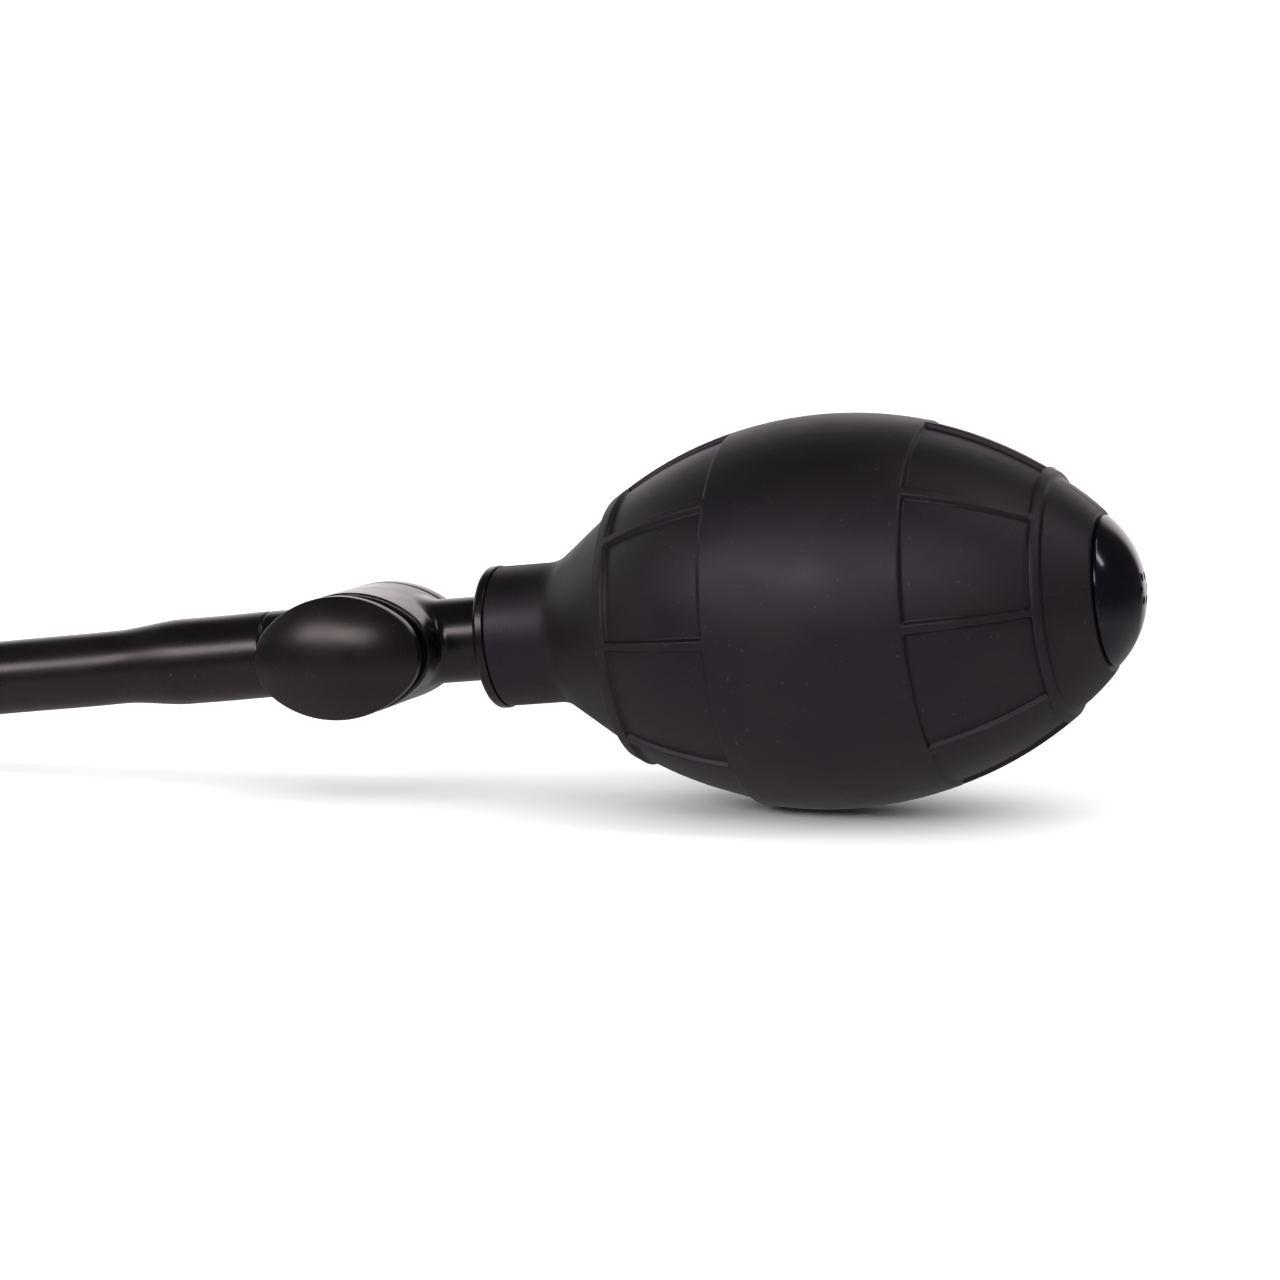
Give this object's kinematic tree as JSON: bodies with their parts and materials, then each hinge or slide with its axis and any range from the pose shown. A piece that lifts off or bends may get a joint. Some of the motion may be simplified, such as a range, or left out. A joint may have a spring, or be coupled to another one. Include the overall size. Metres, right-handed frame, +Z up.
{
  "type": "dust blower bulb",
  "caption": "Hand squeeze bulb with a panelled rubber body, domed intake cap, oval push-button release valve and a hose that ends in a fine blower nozzle.",
  "frame": {"origin": "on the surface the bulb rests on, under the middle of the rigid object (bulb, cap and valve, without the hose)", "axes": "+X from the hose end towards the bulb's cap, +Z up, -Y the side of the release button; the bulb's own axis lies in XZ and rises 6.2 degrees towards +X"},
  "size_m": [0.3731, 0.0742, 0.0524],
  "materials": {
    "bulb_rubber": "matte moulded rubber",
    "satin_plastic": "satin moulded plastic",
    "gloss_plastic": "semi-gloss moulded plastic",
    "hose_vinyl": "glossy extruded vinyl",
    "seal_rubber": "smooth seal rubber",
    "inner_plastic": "natural acetal",
    "filter_foam": "open-cell foam",
    "steel": "drawn stainless steel",
    "tie_strap": "woven hook-and-loop strap",
    "brass": "drawn brass tube"
  },
  "bodies": {
    "body": {"bulb": "bulb_rubber", "end_cap": "gloss_plastic", "intake_filter": "filter_foam", "intake_seat": "inner_plastic", "intake_cage": "inner_plastic", "neck_adapter": "gloss_plastic", "neck_o_ring": "seal_rubber", "outlet_seat": "inner_plastic", "outlet_cage": "inner_plastic", "valve_body": "gloss_plastic", "back_cover": "gloss_plastic", "gland_washer": "inner_plastic", "stem_o_ring": "seal_rubber", "return_spring": "steel", "hose": "hose_vinyl", "hose_tie": "tie_strap", "nozzle_body": "satin_plastic", "nozzle_tip": "brass"},
    "button": {"release_button": "satin_plastic", "plunger_stem": "steel", "poppet_washer": "seal_rubber", "poppet_plate": "inner_plastic", "stem_clip": "steel"},
    "intake_valve": {"intake_disc": "seal_rubber"},
    "outlet_valve": {"outlet_disc": "seal_rubber"}
  },
  "joints": [
    {"name": "button_press", "type": "slide", "parent": "body", "child": "button", "axis": [0, 1, 0], "range_m": [0, 0.002], "stiffness_N_per_m": 600, "springref_m": -0.002, "deforming": ["return_spring"]},
    {"name": "intake_open", "type": "slide", "parent": "body", "child": "intake_valve", "axis": [-0.9942, 0, -0.108], "range_m": [0, 0.0009]},
    {"name": "outlet_open", "type": "slide", "parent": "body", "child": "outlet_valve", "axis": [-0.9942, 0, -0.108], "range_m": [0, 0.0009]}
  ]
}
